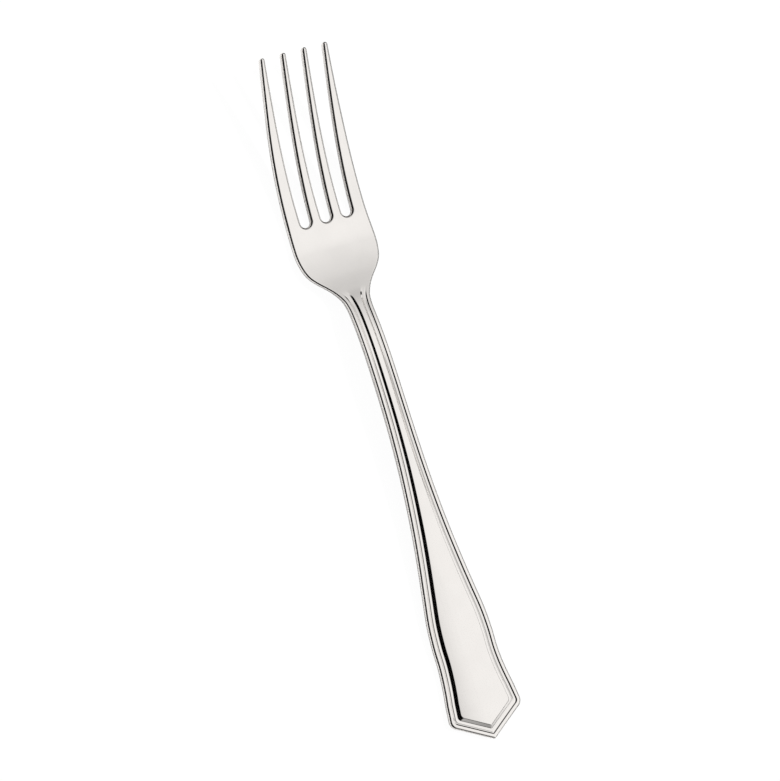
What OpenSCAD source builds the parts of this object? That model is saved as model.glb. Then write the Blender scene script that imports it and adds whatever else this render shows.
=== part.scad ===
// Dinner fork with four tines and a threaded border, stamped and bent from one steel blank.
// The tines point along +Y, the face looks up and the fork rests on Z = 0.
// Every place along the fork is a distance from the point of the handle.

/* [Lengths] */
// Length from the point of the handle to the tips of the tines
overall_l = 205; // [195:0.5:220]
// Length of the tines, from the centres of the round slot ends to the tips
tine_l = 46.9; // [42:0.1:50]
// Length of the head, from the neck to the centres of the round slot ends
head_l = 22.1; // [20:0.1:26]
// Length of the neck, where the border fades into the head
neck_l = 24; // [18:0.5:30]
// Length of the pointed end, from its point to the corners of the shoulders
point_l = 7.4; // [5:0.1:10]
// Distance from the point of the handle to the waist above the shoulders
waist_at = 25.5; // [21:0.5:28]
// Distance from the point of the handle to the bulge above the waist
bulge_at = 30.5; // [29:0.5:40]
// Distance from the bowl's resting line back to the narrowest place of the neck
neck_back = 30; // [28:0.5:36]

/* [Widths] */
// Width over the corners of the shoulders
shoulder_w = 23.9; // [22:0.1:27]
// Width at the waist
waist_w = 19.8; // [17:0.1:21.5]
// Width at the bulge
bulge_w = 19.85; // [17:0.1:22]
// Width at the narrowest place of the neck
neck_w = 7.45; // [6.6:0.05:9]
// Width of the head at its widest place
head_w = 26.2; // [25:0.1:28]
// Distance between the centre lines of neighbouring slots
slot_pitch = 6.7; // [6.5:0.05:7]
// Width of a slot at its round end
slot_w = 3.2; // [2.6:0.1:3.4]
// Width of a tine just below its rounded tip
tine_tip_w = 1.45; // [1.2:0.05:1.8]

/* [Thickness] */
// Thickness of the handle at its rim
handle_t = 2.2; // [2.05:0.05:3]
// Thickness of the neck at its rim
neck_t = 2.9; // [2.4:0.05:3.6]
// Thickness of the head
head_t = 2.2; // [2.05:0.05:2.8]
// Thickness of the tines at their tips
tine_t = 2.1; // [1.7:0.05:2.5]
// Radius of the polished edge round the face
face_r = 0.6; // [0.3:0.05:0.6]
// Radius of the polished edge round the back, which tapers to the face's along the tines
back_r = 1.35; // [0.5:0.05:1.4]

/* [Side view] */
// Height of the back of the neck above the table
neck_rise = 5.2; // [3:0.1:8]
// Height of the back of the tines above the table at their tips
tip_rise = 14.7; // [10:0.1:20]
// Angle at which the tines leave the tips, from level
tip_angle = 22.8; // [15:0.1:30]
// Height of the back of the handle above the table at its point
point_rise = 0.7; // [0:0.05:1.5]
// Distance from the point of the handle to the flat that it rests on
rest_at = 13; // [11:0.5:16]
// Length of the flat that the handle rests on
rest_l = 8; // [5:0.5:9]
// Distance from the tips back to the line that the bowl rests on
bowl_back = 52; // [48:0.5:56]
// Depth of the dished face at the bowl's resting line
dish_d = 0.3; // [0.1:0.05:0.8]

/* [Border] */
// Distance from the edge to the inner side of the outer rib
rib_w = 1.2; // [0.95:0.05:1.35]
// Distance from the edge to the bottom of the groove inside the rib
groove_at = 1.6; // [1.45:0.05:1.7]
// Depth of the groove below the rib
groove_d = 0.2; // [0.1:0.05:0.4]
// Width of the fine thread between the groove and the channel round the panel
thread_w = 1; // [0.7:0.05:1]
// Angle at which the thread rises out of the groove, from level
thread_out_angle = 16; // [5:1:25]
// Angle at which the thread falls into the channel, from level
thread_in_angle = 4; // [2:1:15]
// Width of the bevelled slope from the channel up to the raised panel on the handle
slope_w = 1.15; // [0.7:0.05:1.4]
// Width of the same slope at the neck
neck_slope_w = 0.55; // [0.3:0.05:0.6]
// Height of the raised panel above the rib on the handle
panel_rise = 0.35; // [0.1:0.05:0.7]
// Height of the raised panel above the rib at the neck
neck_panel_rise = 0.25; // [0:0.05:0.4]
// Radius of the panel's crown across the handle
crown_r = 130; // [80:5:300]
// Radius of the shoulder corners at the edge
corner_r = 2.6; // [1.6:0.1:3]

/* [Hidden] */
steel = [0.84, 0.84, 0.83];
// Height by which the slot cutters pass the head
overrun = 1;
// Shortest length over which the border fades into the head
fade_l = 5;
// Smallest radius of the border's lines round the shoulder corners
inner_r = 1.4;
// Length over which a tine's tip is rounded off
tip_l = 0.8;
// Share of the head's length at which it is widest, and of the neck's curve at which it is highest
widest_share = 0.63;
crest_share = 0.33;
// Largest share of a tine's half width or thickness that its rounded edges take
round_share = 0.9;
// Share of its size that a tine keeps at the very end of its tip
tip_end_share = 0.2;
// Share of a bevel's width that its rounded foot takes, and its rounded top
foot_share = 0.15;
// Share of its distance from the rounded edge that the border keeps at the neck
neck_border_share = 0.92;
// Share of the thread's width that the flat bottom of the groove takes
floor_share = 0.125;

handle_l = overall_l - tine_l - head_l - neck_l;
head_at = handle_l + neck_l;
root_at = head_at + head_l;
bowl_at = overall_l - bowl_back;
neck_at = bowl_at - neck_back;
widest_at = lerp(head_at, root_at, widest_share);
crest_at = neck_at - neck_back * crest_share;
channel_at = groove_at + thread_w;
slot_tip_w = slot_pitch - tine_tip_w;
tip_span = 3 * slot_pitch + tine_tip_w;

// Each pair is a share of the way along the stretch and a share of the change in its size
end_shares = [[0, 0], [0.31, 0.33], [0.5, 0.6], [0.7, 0.83], [0.87, 0.955], [1, 1]];
flare_shares = [[0, 0], [0.07, 0.065], [0.15, 0.237], [0.25, 0.452], [0.35, 0.637], [0.45, 0.778],
    [0.55, 0.882], [0.65, 0.944], [0.75, 0.977], [0.87, 0.99], [1, 1]];
head_shares = [[0.15, 0], [0.24, 0.004], [0.3, 0.02], [0.37, 0.063], [0.44, 0.165], [0.5, 0.285],
    [0.556, 0.43], [0.63, 0.64], [0.704, 0.811], [0.778, 0.909], [0.852, 0.963], [0.92, 0.99], [1, 1]];
tine_shares = [[0.15, 0.095], [0.28, 0.165], [0.41, 0.25], [0.59, 0.43], [0.77, 0.69], [1, 1]];
rise_shares = [[0.05, 0.03], [0.1, 0.085], [0.25, 0.25], [0.4, 0.45], [0.55, 0.64], [0.7, 0.825],
    [0.85, 0.957], [1, 1]];
fall_shares = [[0.19, 0.94], [0.34, 0.805], [0.5, 0.575], [0.7, 0.24], [0.89, 0.035], [1, 0],
    [1.11, 0.035]];
dish_shares = [[0, 0], [0.1, 0.05], [0.4, 0.6], [0.68, 1], [1, 0.6]];
flank_shares = [0.15, 0.85, 1];
thread_shares = [0, 0.2, 0.45, 0.72, 1];
slope_shares = [0.08, 0.15, 0.85, 0.92, 1];
panel_shares = [0.67, 0.33, 0];
face_shares = [0.75, 0.5, 0.25, 0];
arc_angles = [0, 22.5, 45, 67.5, 90];

function lerp(a, b, s) = a + (b - a) * s;
function clamp(s) = min(1, max(0, s));
function ease(s) = let (c = clamp(s)) c * c * (3 - 2 * c);

// Cubic between two values, with the change that each end's slope would bring over the span
function cubic(a, b, rise_a, rise_b, s) =
    lerp(a, b, s * s * (3 - 2 * s)) + rise_a * s * (1 - s) * (1 - s) - rise_b * s * s * (1 - s);

// Smooth curve through knots of [place, value]; each knot takes the slope of its neighbours
function knot_slope(knots, i) =
    let (a = knots[max(0, i - 1)], b = knots[min(len(knots) - 1, i + 1)])
    (b[1] - a[1]) / (b[0] - a[0]);
function knot_before(knots, x, i = 0) =
    (i >= len(knots) - 2 || x <= knots[i + 1][0]) ? i : knot_before(knots, x, i + 1);
function curve(knots, x) =
    let (i = knot_before(knots, x), a = knots[i], b = knots[i + 1], w = b[0] - a[0])
    cubic(a[1], b[1], knot_slope(knots, i) * w, knot_slope(knots, i + 1) * w, (x - a[0]) / w);
function stretch(shares, from, to) =
    [for (s = shares) [lerp(from[0], to[0], s[0]), lerp(from[1], to[1], s[1])]];

// Half of the width at each place along the fork
outline = concat(
    stretch(end_shares, [point_l, shoulder_w / 2], [waist_at, waist_w / 2]),
    stretch(flare_shares, [bulge_at, bulge_w / 2], [neck_at, neck_w / 2]),
    stretch(head_shares, [neck_at, neck_w / 2], [widest_at, head_w / 2]),
    stretch(tine_shares, [widest_at, head_w / 2], [overall_l, tip_span / 2]));
function half_w(t) = curve(outline, t);
// Length of the outline per unit of length along the fork, which widens an inset across it
function outline_slope(t) = (half_w(t + face_r) - half_w(t - face_r)) / (2 * face_r);
function inset(t, d) = half_w(t) - d * sqrt(1 + pow(outline_slope(t), 2));

// Height of the middle of the back above the table
rest_end = rest_at + rest_l;
arch = concat([[rest_end, 0]], stretch(rise_shares, [rest_end, 0], [crest_at, neck_rise]),
    stretch(fall_shares, [crest_at, 0], [bowl_at, neck_rise]));
function tine_rise(s) = cubic(0, tip_rise, 0, tan(tip_angle) * bowl_back, s);
function back_z(t) =
    t < rest_at ? point_rise * pow((rest_at - t) / rest_at, 2)
    : t < rest_end ? 0
    : t < bowl_at ? max(0, curve(arch, t))
    : tine_rise((t - bowl_at) / bowl_back);

// Thickness at the rim at each place along the fork
function thick(t) =
    t < neck_at ? lerp(handle_t, neck_t, ease((t - bulge_at) / (neck_at - bulge_at)))
    : t < bowl_at ? lerp(neck_t, head_t, ease((t - neck_at) / (bowl_at - neck_at)))
    : lerp(head_t, tine_t, (t - bowl_at) / bowl_back);

// The bowl is dished: the back and the face both rise towards the outline
dish = stretch(dish_shares, [head_at, 0], [root_at, dish_d]);
function dish_z(t, x) = (t < head_at) ? 0
    : pow(x / half_w(t), 2) * ((t < root_at) ? curve(dish, t)
        : dish[len(dish) - 1][1] * (1 - ease((t - root_at) / head_l)));

// Share of the border that is left where it runs out at the end of the neck
function border_share(t) = ease((head_at - t) / fade_l);
function neck_share(t) = ease((t - bulge_at) / (neck_at - bulge_at));
function panel_z(t) = lerp(panel_rise, neck_panel_rise, neck_share(t));
function slope_top(t) = channel_at + lerp(slope_w, neck_slope_w, neck_share(t));
// Towards the neck the border is drawn in a little to the edge
function drawn_in(t, d) = lerp(face_r, d, lerp(1, neck_border_share, neck_share(t)));

// Straight step from 0 to 1 with a parabola at its foot and at its top
function bevel(s) = let (bend = 2 * foot_share * (1 - foot_share))
    s < foot_share ? s * s / bend
    : s > 1 - foot_share ? 1 - (1 - s) * (1 - s) / bend
    : (s - foot_share / 2) / (1 - foot_share);
function thread_z(s) =
    cubic(0, 0, thread_w * tan(thread_out_angle), -thread_w * tan(thread_in_angle), s) - groove_d;

// Section of the rim as [distance in from the outline, share of the thickness, height above it]
function edge_levels() = concat(
    [for (a = arc_angles) [back_r * (1 - sin(a)), 0, back_r * (1 - cos(a))]],
    [for (a = arc_angles) [face_r * (1 - cos(a)), 1, -face_r * (1 - sin(a))]]);
function stamped_levels(t) = concat([[rib_w, 0]],
    [for (s = flank_shares) [lerp(rib_w, groove_at, s), -groove_d * bevel(s)]],
    [for (s = thread_shares) [groove_at + thread_w * lerp(floor_share, 1, s), thread_z(s)]],
    [for (s = slope_shares)
        [lerp(channel_at, slope_top(t), s), lerp(-groove_d, panel_z(t), bevel(s))]]);
function border_levels(t) = concat(edge_levels(),
    [for (level = stamped_levels(t)) [drawn_in(t, level[0]), 1, level[1] * border_share(t)]]);

// Half of a section with the border, from the edge of the back to the middle of the panel
function level_point(t, x, level) = [x, t, back_z(t) + level[1] * thick(t) + level[2] + dish_z(t, x)];
function panel_point(t, x, share) =
    let (crown = x * x * (1 - share * share) / (2 * crown_r))
    [x * share, t, back_z(t) + thick(t) + (panel_z(t) + crown) * border_share(t) + dish_z(t, x * share)];
function border_half(t) = concat(
    [for (level = border_levels(t)) level_point(t, inset(t, level[0]), level)],
    [for (s = panel_shares) panel_point(t, inset(t, drawn_in(t, slope_top(t))), s)]);

// Half of a plain section, from the edge of the back to the middle of the face
function plain_half(t) = concat(
    [for (level = edge_levels()) level_point(t, inset(t, level[0]), level)],
    [for (s = face_shares) level_point(t, inset(t, face_r) * s, [face_r, 1, 0])]);
function mirrored(half) = [for (i = [len(half) - 2:-1:0]) [-half[i][0], half[i][1], half[i][2]]];
function whole(half) = concat(half, mirrored(half));

// The shoulder corner and the point: each line of the border runs parallel to the edge
flank_at = lerp(point_l, waist_at, end_shares[1][0]);
corner = [shoulder_w / 2, point_l];
function unit(v) = v / norm(v);
flank_dir = unit([half_w(flank_at), flank_at] - corner);
flank_normal = [flank_dir[1], -flank_dir[0]];
edge_dir = unit(corner);
edge_normal = [edge_dir[1], -edge_dir[0]];
mitre = (flank_normal + edge_normal) / (1 + flank_normal * edge_normal);
flank_angle = atan2(flank_normal[1], flank_normal[0]);
edge_angle = atan2(edge_normal[1], edge_normal[0]);
corner_shares = [0, 0.25, 0.5, 0.75, 1];
edge_shares = [0.35, 0.7];
function corner_point(d, share) =
    let (r = max(inner_r, corner_r - d), a = lerp(flank_angle, edge_angle, share))
    corner - mitre * (d + r) + r * [cos(a), sin(a)];
function apex(d) = [0, -d / edge_normal[1]];
function end_point(d, station) =
    station < len(corner_shares) ? corner_point(d, corner_shares[station])
    : lerp(corner_point(d, 1), apex(d), concat(edge_shares, [1])[station - len(corner_shares)]);
end_stations = len(corner_shares) + len(edge_shares) + 1;
function end_half(station) = concat(
    [for (level = border_levels(0)) let (p = end_point(level[0], station)) level_point(p[1], p[0], level)],
    [for (s = panel_shares) let (p = end_point(slope_top(0), station)) panel_point(p[1], p[0], s)]);

// Puts the middle of the fork's length on the origin
module centred() {
    translate([0, -overall_l / 2, 0]) children();
}

// Skin over a row of closed sections; at the apex, mirrored points are one point
function triangles(a, b, c, d) =
    [for (f = [[a, b, c], [a, c, d]]) if (f[0] != f[1] && f[1] != f[2] && f[2] != f[0]) f];
function point_index(row, i, n, apex_row, meet) =
    row * n + (row == apex_row ? min(i, n - 1 - i, meet) : i);
module skin(rows, apex_row = undef, meet = 0) {
    n = len(rows[0]);
    last = len(rows) - 1;
    sides = [for (r = [0:last - 1], i = [0:n - 1]) let (j = (i + 1) % n)
        each triangles(point_index(r, i, n, apex_row, meet), point_index(r + 1, i, n, apex_row, meet),
            point_index(r + 1, j, n, apex_row, meet), point_index(r, j, n, apex_row, meet))];
    caps = concat([[for (i = [0:n - 1]) i]],
        apex_row == undef ? [[for (i = [n - 1:-1:0]) last * n + i]] : []);
    polyhedron(points = [for (row = rows) each row], faces = concat(sides, caps), convexity = 6);
}

// Evenly spaced places along a stretch
function places(from, to, count) = [for (i = [0:count]) lerp(from, to, i / count)];

// How many steps the skins take along each region
handle_sections = 34;
neck_sections = 20;
head_sections = 20;
tine_sections = 14;

module handle() {
    sides = [for (t = places(handle_l, flank_at, handle_sections)) whole(border_half(t))];
    end = [for (station = [0:end_stations - 1]) whole(end_half(station))];
    meet = len(border_levels(0)) - 1;
    color(steel) centred()
        skin(concat(sides, end), apex_row = len(sides) + len(end) - 1, meet = meet);
}

module neck() {
    color(steel) centred()
        skin([for (t = places(head_at, handle_l, neck_sections)) whole(border_half(t))]);
}

module slot_end(x) {
    translate([x, root_at, -overrun])
        cylinder(h = head_t + neck_rise + 2 * overrun, r = slot_w / 2, $fn = 64);
}

module head() {
    color(steel) centred()
        difference() {
            skin([for (t = places(root_at, head_at, head_sections)) whole(plain_half(t))]);
            for (i = [-1:1]) slot_end(i * slot_pitch);
        }
}

// A tine runs between two lines given at its root and its tip; its section is a rounded bar
tip_shares = [0.35, 0.65, 0.86, 0.97, 1];
tine_places = concat(places(root_at, overall_l - tip_l, tine_sections),
    [for (s = tip_shares) overall_l - tip_l * (1 - s)]);
function tip_share(t) =
    let (s = clamp((t - overall_l + tip_l) / tip_l)) max(tip_end_share, sqrt(1 - s * s));
function back_round(t) = lerp(back_r, face_r, clamp((t - root_at) / tine_l));
function slot_half(t) = lerp(slot_w, slot_tip_w, (t - root_at) / tine_l) / 2;
function inner_line(t, lane) = lane * slot_pitch + slot_half(t);
function outer_line(t, lane) = lane == 1 ? half_w(t) : (lane + 1) * slot_pitch - slot_half(t);
function tine_section(t, lane) =
    let (from = inner_line(t, lane), to = outer_line(t, lane), k = tip_share(t),
        w = (to - from) / 2 * k, h = thick(t) / 2 * k)
    [for (q = [0:3], a = arc_angles)
        let (r = min(q < 2 ? face_r : back_round(t), w * round_share, h * round_share),
            x = (from + to) / 2 + (w - r) * (q == 0 || q == 3 ? 1 : -1) + r * cos(q * 90 + a))
        [x, t, back_z(t) + thick(t) / 2 + (h - r) * (q < 2 ? 1 : -1) + r * sin(q * 90 + a) + dish_z(t, x)]];
module tine(lane) {
    centred() skin([for (i = [len(tine_places) - 1:-1:0]) tine_section(tine_places[i], lane)]);
}

module left_outer_tine() {
    color(steel) mirror([1, 0, 0]) tine(1);
}

module left_inner_tine() {
    color(steel) mirror([1, 0, 0]) tine(0);
}

module right_inner_tine() {
    color(steel) tine(0);
}

module right_outer_tine() {
    color(steel) tine(1);
}

handle();
neck();
head();
left_outer_tine();
left_inner_tine();
right_inner_tine();
right_outer_tine();
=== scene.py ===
"""Looks of the dinner fork: polished steel skins, a white studio and the photograph's camera.

Every length is in metres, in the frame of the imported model. The tines point along +Y, the face
looks up and the fork rests on Z = 0. Places along the fork are distances from the point of the
handle, as in the part's own source, and the curves repeat its formulas.
"""

import logging
import math
from dataclasses import dataclass, field
from enum import Enum
from functools import cached_property, reduce

import bpy
import numpy as np
from mathutils import Matrix

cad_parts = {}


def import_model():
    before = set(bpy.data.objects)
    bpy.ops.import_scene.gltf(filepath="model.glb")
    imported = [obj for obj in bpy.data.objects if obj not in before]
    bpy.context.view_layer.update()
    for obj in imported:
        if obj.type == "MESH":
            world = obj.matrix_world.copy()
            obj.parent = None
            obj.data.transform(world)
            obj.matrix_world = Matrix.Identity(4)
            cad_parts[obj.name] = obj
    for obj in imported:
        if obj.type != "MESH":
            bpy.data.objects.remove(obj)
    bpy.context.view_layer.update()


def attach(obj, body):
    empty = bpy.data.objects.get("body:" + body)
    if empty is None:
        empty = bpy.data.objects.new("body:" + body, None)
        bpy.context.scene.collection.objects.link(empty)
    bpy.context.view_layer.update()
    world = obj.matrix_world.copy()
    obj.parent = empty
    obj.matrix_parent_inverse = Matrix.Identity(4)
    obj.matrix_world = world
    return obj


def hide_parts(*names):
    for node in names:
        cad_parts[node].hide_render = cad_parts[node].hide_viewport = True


Array = np.ndarray
Knots = tuple[tuple[float, float], ...]
Fade = tuple[float, ...]
Socket = bpy.types.NodeSocket
BODY = "root"
WELD_STEP = 1e-8
QUARTER_TURN = math.pi / 2
MIRROR = np.array([-1, 1, 1, 1])
RIM_SHARE = "rim_share"
log = logging.getLogger("dinner_fork")


def lerp(start: Array | float, end: Array | float, share: Array | float) -> Array | float:
    """Value at a share of the way from start to end."""
    return start + (end - start) * share


def ease(share: Array | float) -> Array:
    """S-shaped step 3s^2 - 2s^3 of a share, held at 0 and 1 outside its range."""
    s = np.clip(share, 0, 1)
    return s * s * (3 - 2 * s)


def bevel(share: Array, rounded: float) -> Array:
    """Straight step from 0 to 1 whose first and last parts are parabolas of the given share.

    Args:
        share: Shares of the way.
        rounded: Share that each parabola takes.

    Returns:
        Shares of the height.
    """
    s = np.clip(share, 0, 1)
    bend = 2 * rounded * (1 - rounded)
    middle = (s - rounded / 2) / (1 - rounded)
    top = np.where(s > 1 - rounded, 1 - (1 - s) ** 2 / bend, middle)
    return np.where(s < rounded, s * s / bend, top)


def steps(count: int) -> Array:
    """Shares 1/count, 2/count and so on up to 1."""
    return np.arange(1, count + 1) / count


def stretch(shares: Knots, start: tuple[float, float], end: tuple[float, float]) -> Array:
    """Rows of [place, value] that lie at shares of the way and of the change between two ends."""
    return lerp(np.array(start), np.array(end), np.array(shares))


def smooth_curve(knots: Array, x: Array) -> Array:
    """Cubic Hermite curve, where each knot takes the slope between its two neighbours.

    Args:
        knots: Rows of [place, value], by rising place.
        x: Places to work the curve out at.

    Returns:
        The curve's values at x.
    """
    last = len(knots) - 1
    index = np.arange(last + 1)
    before, after = knots[np.maximum(index - 1, 0)], knots[np.minimum(index + 1, last)]
    slope = (after[:, 1] - before[:, 1]) / (after[:, 0] - before[:, 0])
    i = np.clip(np.searchsorted(knots[:, 0], x, side="left") - 1, 0, last - 1)
    width = knots[i + 1, 0] - knots[i, 0]
    s = (x - knots[i, 0]) / width
    return (lerp(knots[i, 1], knots[i + 1, 1], s * s * (3 - 2 * s))
            + slope[i] * width * s * (1 - s) ** 2 - slope[i + 1] * width * s * s * (1 - s))


def turn_rays(start: float, end: float, count: int) -> Array:
    """Unit vectors that turn from one angle to another, count + 1 x 1 x 2."""
    turn = lerp(start, end, np.linspace(0, 1, count + 1))[:, None, None]
    return np.concatenate([np.cos(turn), np.sin(turn)], -1)


@dataclass(frozen=True)
class ForkForm:
    """Driving sizes of the fork and the curves that run along it."""
    overall_l: float = 0.205
    tine_l: float = 0.0469
    head_l: float = 0.0221
    neck_l: float = 0.024
    point_l: float = 0.0074
    waist_at: float = 0.0255
    bulge_at: float = 0.0305
    neck_back: float = 0.030
    shoulder_w: float = 0.0239
    waist_w: float = 0.0198
    bulge_w: float = 0.01985
    neck_w: float = 0.00745
    head_w: float = 0.02618
    slot_pitch: float = 0.0067
    slot_w: float = 0.0032
    tine_tip_w: float = 0.00145
    handle_t: float = 0.0022
    neck_t: float = 0.0029
    head_t: float = 0.0022
    tine_t: float = 0.0021
    face_r: float = 0.0006
    head_face_r: float = 0.0008
    back_r: float = 0.00135
    neck_rise: float = 0.0052
    tip_rise: float = 0.014699
    tip_angle: float = 22.8
    point_rise: float = 0.0007
    rest_at: float = 0.013
    rest_l: float = 0.008
    bowl_back: float = 0.052
    dish_d: float = 0.0003
    rib_w: float = 0.0012
    groove_at: float = 0.0016
    groove_d: float = 0.0002
    thread_w: float = 0.001
    thread_rise: float = 0.32
    thread_fall: float = 0.07
    slope_w: float = 0.00115
    neck_slope_w: float = 0.0007
    panel_rise: float = 0.00035
    neck_panel_rise: float = 0.00025
    neck_border_share: float = 0.92
    crown_r: float = 0.13
    corner_r: float = 0.0026
    inner_r: float = 0.0014
    edge_r: float = 0.0003
    fade_l: float = 0.005
    tip_l: float = 0.0008
    widest_share: float = 0.63
    crest_share: float = 0.33
    head_round_share: float = 0.75
    end_shares: Knots = ((0, 0), (0.31, 0.33), (0.5, 0.6), (0.7, 0.83), (0.87, 0.955), (1, 1))
    flare_shares: Knots = (
        (0, 0), (0.07, 0.065), (0.15, 0.237), (0.25, 0.452), (0.35, 0.637), (0.45, 0.778),
        (0.55, 0.882), (0.65, 0.944), (0.75, 0.977), (0.87, 0.99), (1, 1))
    head_shares: Knots = (
        (0.15, 0), (0.24, 0.004), (0.3, 0.02), (0.37, 0.063), (0.44, 0.165), (0.5, 0.285),
        (0.556, 0.43), (0.63, 0.64), (0.704, 0.811), (0.778, 0.909), (0.852, 0.963),
        (0.92, 0.99), (1, 1))
    tine_shares: Knots = (
        (0.15, 0.095), (0.28, 0.165), (0.41, 0.25), (0.59, 0.43), (0.77, 0.69), (1, 1))
    rise_shares: Knots = (
        (0.05, 0.03), (0.1, 0.085), (0.25, 0.25), (0.4, 0.45), (0.55, 0.64), (0.7, 0.825),
        (0.85, 0.957), (1, 1))
    fall_shares: Knots = (
        (0.19, 0.94), (0.34, 0.805), (0.5, 0.575), (0.7, 0.24), (0.89, 0.035), (1, 0),
        (1.11, 0.035))
    dish_shares: Knots = ((0, 0), (0.1, 0.05), (0.4, 0.6), (0.68, 1), (1, 0.6))

    @property
    def handle_l(self) -> float:
        """Length of the handle, from its point to the neck."""
        return self.overall_l - self.tine_l - self.head_l - self.neck_l

    @property
    def head_at(self) -> float:
        """Place where the neck meets the head."""
        return self.handle_l + self.neck_l

    @property
    def root_at(self) -> float:
        """Place of the centres of the round slot ends."""
        return self.head_at + self.head_l

    @property
    def bowl_at(self) -> float:
        """Place of the line that the bowl rests on."""
        return self.overall_l - self.bowl_back

    @property
    def neck_at(self) -> float:
        """Place where the neck is narrowest."""
        return self.bowl_at - self.neck_back

    @property
    def rest_end(self) -> float:
        """Place where the handle's flat ends and the arch starts."""
        return self.rest_at + self.rest_l

    @property
    def channel_at(self) -> float:
        """Distance from the edge to the channel round the panel."""
        return self.groove_at + self.thread_w

    @cached_property
    def outline(self) -> Array:
        """Knots of half of the width along the fork."""
        waist = (self.waist_at, self.waist_w / 2)
        neck = (self.neck_at, self.neck_w / 2)
        widest = (lerp(self.head_at, self.root_at, self.widest_share), self.head_w / 2)
        tip = (self.overall_l, (3 * self.slot_pitch + self.tine_tip_w) / 2)
        return np.vstack([
            stretch(self.end_shares, (self.point_l, self.shoulder_w / 2), waist),
            stretch(self.flare_shares, (self.bulge_at, self.bulge_w / 2), neck),
            stretch(self.head_shares, neck, widest),
            stretch(self.tine_shares, widest, tip)])

    @cached_property
    def arch(self) -> Array:
        """Knots of the back's height from the handle's flat to the bowl's resting line."""
        crest = self.neck_at - self.neck_back * self.crest_share
        return np.vstack([[[self.rest_end, 0]],
                          stretch(self.rise_shares, (self.rest_end, 0), (crest, self.neck_rise)),
                          stretch(self.fall_shares, (crest, 0), (self.bowl_at, self.neck_rise))])

    def half_w(self, t: Array) -> Array:
        """Half of the width at places t."""
        return smooth_curve(self.outline, t)

    def inset(self, t: Array, d: Array | float) -> Array:
        """Half width less d sqrt(1 + slope^2): a line that runs at d inside the edge."""
        change = self.half_w(t + self.face_r) - self.half_w(t - self.face_r)
        return self.half_w(t) - d * np.sqrt(1 + (change / (2 * self.face_r)) ** 2)

    def back_z(self, t: Array) -> Array:
        """Height of the back: a lifted point, the flat, the neck's arch and the tines' rise.

        The point lifts with the square of the distance from the flat. The tines rise on a cubic
        that starts level at the bowl's resting line and ends at the tips' height and angle.

        Args:
            t: Places along the fork.

        Returns:
            Heights above the table.
        """
        end = self.point_rise * (np.clip(self.rest_at - t, 0, None) / self.rest_at) ** 2
        arch = np.maximum(0, smooth_curve(self.arch, np.clip(t, self.rest_end, self.bowl_at)))
        s = np.clip((t - self.bowl_at) / self.bowl_back, 0, None)
        rise = math.tan(math.radians(self.tip_angle)) * self.bowl_back
        tines = self.tip_rise * s * s * (3 - 2 * s) - rise * s * s * (1 - s)
        return end + arch + tines

    def thick(self, t: Array) -> Array:
        """Thickness at the rim, on S-shaped steps up to the bowl and a straight taper beyond.

        Args:
            t: Places along the fork.

        Returns:
            Thicknesses.
        """
        handle = lerp(self.handle_t, self.neck_t, self.neck_share(t))
        bowl_share = ease((t - self.neck_at) / (self.bowl_at - self.neck_at))
        head = lerp(self.neck_t, self.head_t, bowl_share)
        tines = lerp(self.head_t, self.tine_t, (t - self.bowl_at) / self.bowl_back)
        return np.where(t < self.neck_at, handle, np.where(t < self.bowl_at, head, tines))

    def dish_z(self, t: Array, x: Array) -> Array:
        """Height of the dish, which rises with the square of the distance from the middle line.

        Args:
            t: Places along the fork.
            x: Places across the fork.

        Returns:
            Heights above the middle of the dish.
        """
        knots = stretch(self.dish_shares, (self.head_at, 0), (self.root_at, self.dish_d))
        head = smooth_curve(knots, np.clip(t, self.head_at, self.root_at))
        fade = 1 - ease((t - self.root_at) / self.head_l)
        depth = np.where(t < self.head_at, 0, head * fade)
        return depth * (x / self.half_w(t)) ** 2

    def neck_share(self, t: Array) -> Array:
        """Share of the way that the section has changed from the handle's to the neck's."""
        return ease((t - self.bulge_at) / (self.neck_at - self.bulge_at))

    def tine_share(self, t: Array) -> Array:
        """Share of a tine's length that lies behind places t."""
        return np.clip((t - self.root_at) / self.tine_l, 0, 1)

    def back_round(self, t: Array) -> Array:
        """Radius of the edge round the back, which tapers to the face's along the tines."""
        return lerp(self.back_r, self.face_r, self.tine_share(t))

    def face_round(self, t: Array) -> Array:
        """Radius of the edge round the face, wider along the head and narrower at the tips.

        Args:
            t: Places along the fork.

        Returns:
            Radii.
        """
        wide_share = ease((t - self.head_at) / (self.head_round_share * self.head_l))
        wide = lerp(self.face_r, self.head_face_r, wide_share)
        return lerp(wide, self.face_r, self.tine_share(t))

    def back_line(self, d: Array, top: Array) -> Array:
        """Distances of the back's columns, from its rounded edge to the same last one, top."""
        return self.back_r + (d - self.face_r) * (top - self.back_r) / (top - self.face_r)

    def draw_in(self, t: Array) -> Array:
        """Share of its distance from the rounded edge that the border keeps towards the neck."""
        return lerp(1, self.neck_border_share, self.neck_share(t))

    def panel_line(self, t: Array) -> Array:
        """Distance from the edge to the top of the slope, drawn in like the rest of the border."""
        return self.face_r + (self.slope_top(t) - self.face_r) * self.draw_in(t)

    def border_share(self, t: Array) -> Array:
        """Share of the border that is left where it runs out at the end of the neck."""
        return ease((self.head_at - t) / self.fade_l)

    def panel_z(self, t: Array) -> Array:
        """Height of the raised panel above the rib."""
        return lerp(self.panel_rise, self.neck_panel_rise, self.neck_share(t))

    def slope_top(self, t: Array) -> Array:
        """Distance from the edge to the top of the slope round the panel, not drawn in yet."""
        return self.channel_at + lerp(self.slope_w, self.neck_slope_w, self.neck_share(t))


FORM = ForkForm()


def weld_keys(points: Array) -> Array:
    """Whole numbers that are the same for points that share a place."""
    return np.round(points / WELD_STEP).astype(np.int64)


def each_once(corners: list[int]) -> list[int]:
    """Corners of a face in their order, each of them once."""
    return list(dict.fromkeys(corners))


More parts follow.
